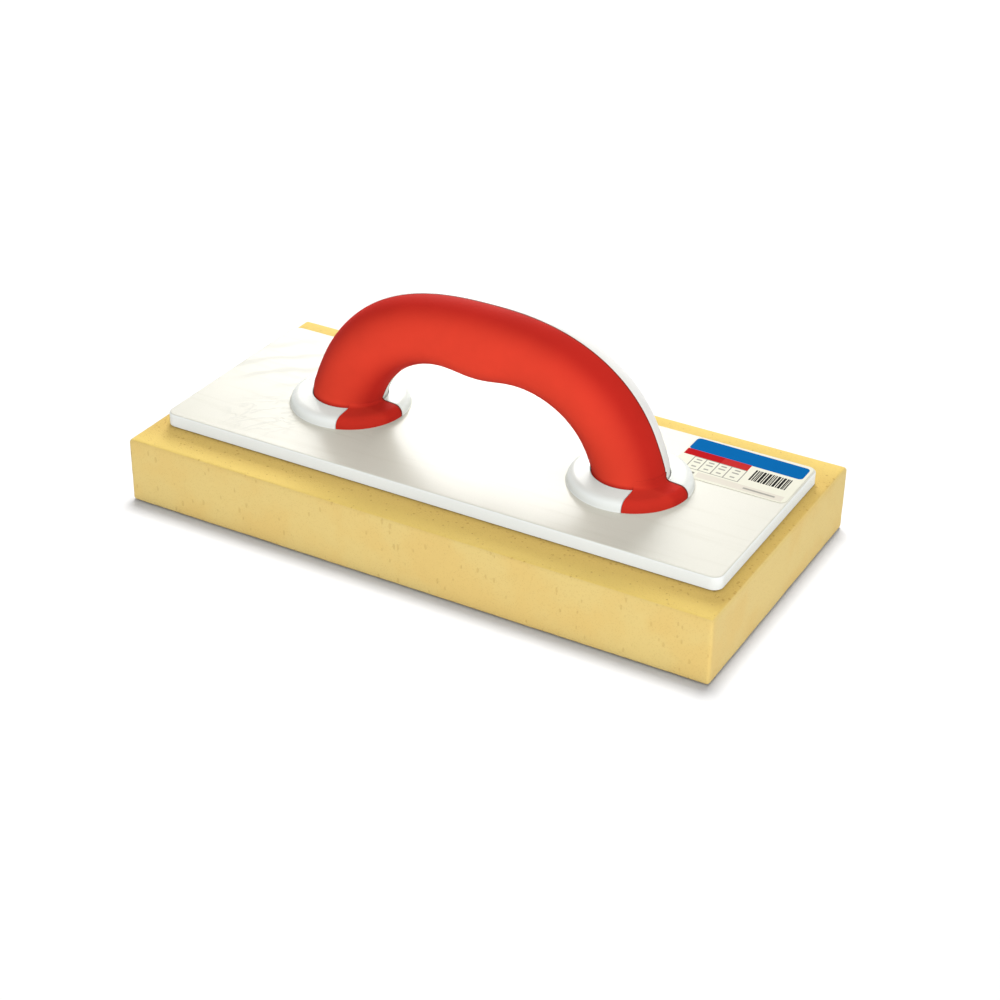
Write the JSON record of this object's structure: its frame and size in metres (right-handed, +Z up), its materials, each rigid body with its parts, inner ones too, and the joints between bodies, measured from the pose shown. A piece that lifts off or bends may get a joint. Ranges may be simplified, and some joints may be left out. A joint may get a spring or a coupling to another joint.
{
  "type": "sponge float",
  "caption": "Tiler's sponge float: thick open-pore foam block under a white plastic backing plate, with a two-colour arched handle.",
  "frame": {"origin": "centre of the foam block's flat working face", "axes": "+Z up from the work to the handle; +X along the length, towards the end with the label; +Y across, to the white half of the handle"},
  "size_m": [0.28, 0.14, 0.1019],
  "materials": {
    "foam": "matte",
    "adhesive": "satin",
    "plate_plastic": "satin",
    "red_plastic": "satin",
    "white_plastic": "satin",
    "zinc_steel": "satin",
    "label_paper": "satin"
  },
  "bodies": {
    "root": {"sponge_pad": "foam", "glue_layer": "adhesive", "backing_plate": "plate_plastic", "handle_front_shell": "red_plastic", "handle_rear_shell": "white_plastic", "handle_screw_1": "zinc_steel", "handle_screw_2": "zinc_steel", "handle_screw_3": "zinc_steel", "handle_screw_4": "zinc_steel", "label": "label_paper"}
  },
  "joints": []
}
